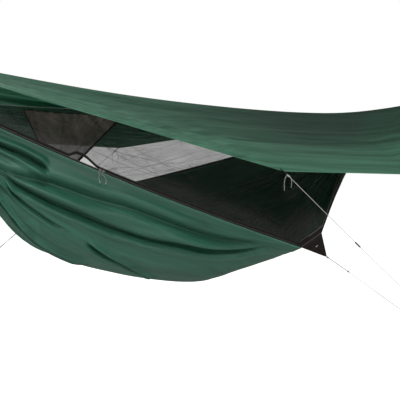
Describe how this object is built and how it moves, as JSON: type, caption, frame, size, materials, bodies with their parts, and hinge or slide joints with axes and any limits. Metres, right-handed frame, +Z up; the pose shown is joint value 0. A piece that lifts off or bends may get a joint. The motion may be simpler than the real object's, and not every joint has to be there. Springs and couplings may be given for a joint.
{
  "type": "camping hammock",
  "caption": "Gathered-end camping hammock with a zipped insect net, an inside gear pocket, a rain fly, guylines and hanging carabiners.",
  "frame": {"origin": "inside of the head carabiner's outer bend, where the tree strap pulls", "axes": "+X from the head end to the foot end, +Y from the zip side to the other side, +Z up as hung"},
  "size_m": [3.9149, 2.8133, 1.5735],
  "materials": {
    "green_nylon": "ripstop nylon, slight sheen",
    "fly_nylon": "coated nylon, slight sheen",
    "edge_binding": "woven binding",
    "black_net": "no-see-um net",
    "black_webbing": "woven polyester",
    "zip_coil": "nylon coil",
    "grey_line": "braided cord",
    "black_rope": "braided rope",
    "grey_alloy": "satin alloy",
    "black_plastic": "moulded"
  },
  "bodies": {
    "suspension": {"far_fly_guyline": "grey_line", "far_fly_guyline_knot": "grey_line", "far_side_guyline": "grey_line", "far_side_guyline_knot": "grey_line", "fly_ring_foot": "grey_alloy", "fly_ring_head": "grey_alloy", "fly_tab_far_head": "black_webbing", "fly_tab_far_mid": "black_webbing", "fly_tab_foot": "black_webbing", "fly_tab_head": "black_webbing", "fly_tab_near_foot": "black_webbing", "fly_tab_near_mid": "black_webbing", "fly_tie_foot": "grey_line", "fly_tie_head": "grey_line", "foot_carabiner": "grey_alloy", "head_carabiner": "grey_alloy", "near_fly_guyline": "grey_line", "near_fly_guyline_knot": "grey_line", "near_side_guyline": "grey_line", "near_side_guyline_knot": "grey_line", "rain_fly": "fly_nylon"},
    "hammock": {"hammock_body": "green_nylon", "near_netting": "black_net", "far_netting": "black_net", "structural_ridgeline": "grey_line", "head_gather": "black_webbing", "foot_gather": "black_webbing", "head_suspension_loop": "black_rope", "foot_suspension_loop": "black_rope", "near_tie_out_patch": "black_webbing", "far_tie_out_patch": "black_webbing", "near_shock_cord": "grey_line", "far_shock_cord": "grey_line", "near_edge_binding": "edge_binding", "far_edge_binding": "edge_binding", "zip_chain": "zip_coil"},
    "pocket": {"gear_pocket": "black_net", "pocket_ring_head": "black_plastic", "pocket_ring_foot": "black_plastic"},
    "slider_head": {"zip_slider_head": "grey_alloy"},
    "slider_foot": {"zip_slider_foot": "grey_alloy"},
    "pull_head": {"zip_pull_head": "grey_alloy"},
    "pull_foot": {"zip_pull_foot": "grey_alloy"},
    "near_tensioner": {"near_line_tensioner": "black_plastic"},
    "far_tensioner": {"far_line_tensioner": "black_plastic"},
    "head_gate": {"head_gate": "grey_alloy"},
    "foot_gate": {"foot_gate": "grey_alloy"}
  },
  "joints": [
    {"name": "rock", "type": "hinge", "parent": "suspension", "child": "hammock", "pos_m": [0.0673, 0, -0.044], "axis": [0.9987, 0, -0.0504], "range_deg": [-3, 3], "stiffness_Nm_per_rad": 60, "deforming": ["near_shock_cord", "far_shock_cord"]},
    {"name": "pocket_travel", "type": "slide", "parent": "hammock", "child": "pocket", "axis": [1, 0, 0], "range_m": [-0.08, 0.1]},
    {"name": "slider_head_travel", "type": "slide", "parent": "hammock", "child": "slider_head", "axis": [-0.868, 0.3141, 0.3845], "range_m": [0, 0.15]},
    {"name": "slider_foot_travel", "type": "slide", "parent": "hammock", "child": "slider_foot", "axis": [0.868, -0.3141, -0.3845], "range_m": [0, 0.15]},
    {"name": "pull_head_swing", "type": "hinge", "parent": "slider_head", "child": "pull_head", "pos_m": [1.3068, -0.266, -0.6879], "axis": [-0.868, 0.3141, 0.3845], "range_deg": [0, 70]},
    {"name": "pull_foot_swing", "type": "hinge", "parent": "slider_foot", "child": "pull_foot", "pos_m": [1.3224, -0.2717, -0.6948], "axis": [-0.868, 0.3141, 0.3845], "range_deg": [0, 70]},
    {"name": "near_tensioner_travel", "type": "slide", "parent": "suspension", "child": "near_tensioner", "axis": [0.5289, -0.4869, -0.6951], "range_m": [-0.1, 0.1]},
    {"name": "far_tensioner_travel", "type": "slide", "parent": "suspension", "child": "far_tensioner", "axis": [-0.6883, 0.3441, -0.6386], "range_m": [-0.1, 0.1]},
    {"name": "head_gate_open", "type": "hinge", "parent": "suspension", "child": "head_gate", "pos_m": [0.0284, 0, -0.0461], "axis": [0, 1, 0], "range_deg": [0, 25], "stiffness_Nm_per_rad": 0.35, "springref_deg": -5.73},
    {"name": "foot_gate_open", "type": "hinge", "parent": "suspension", "child": "foot_gate", "pos_m": [3.8404, 0, -0.2485], "axis": [0, -1, 0], "range_deg": [0, 25], "stiffness_Nm_per_rad": 0.35, "springref_deg": -5.73}
  ]
}
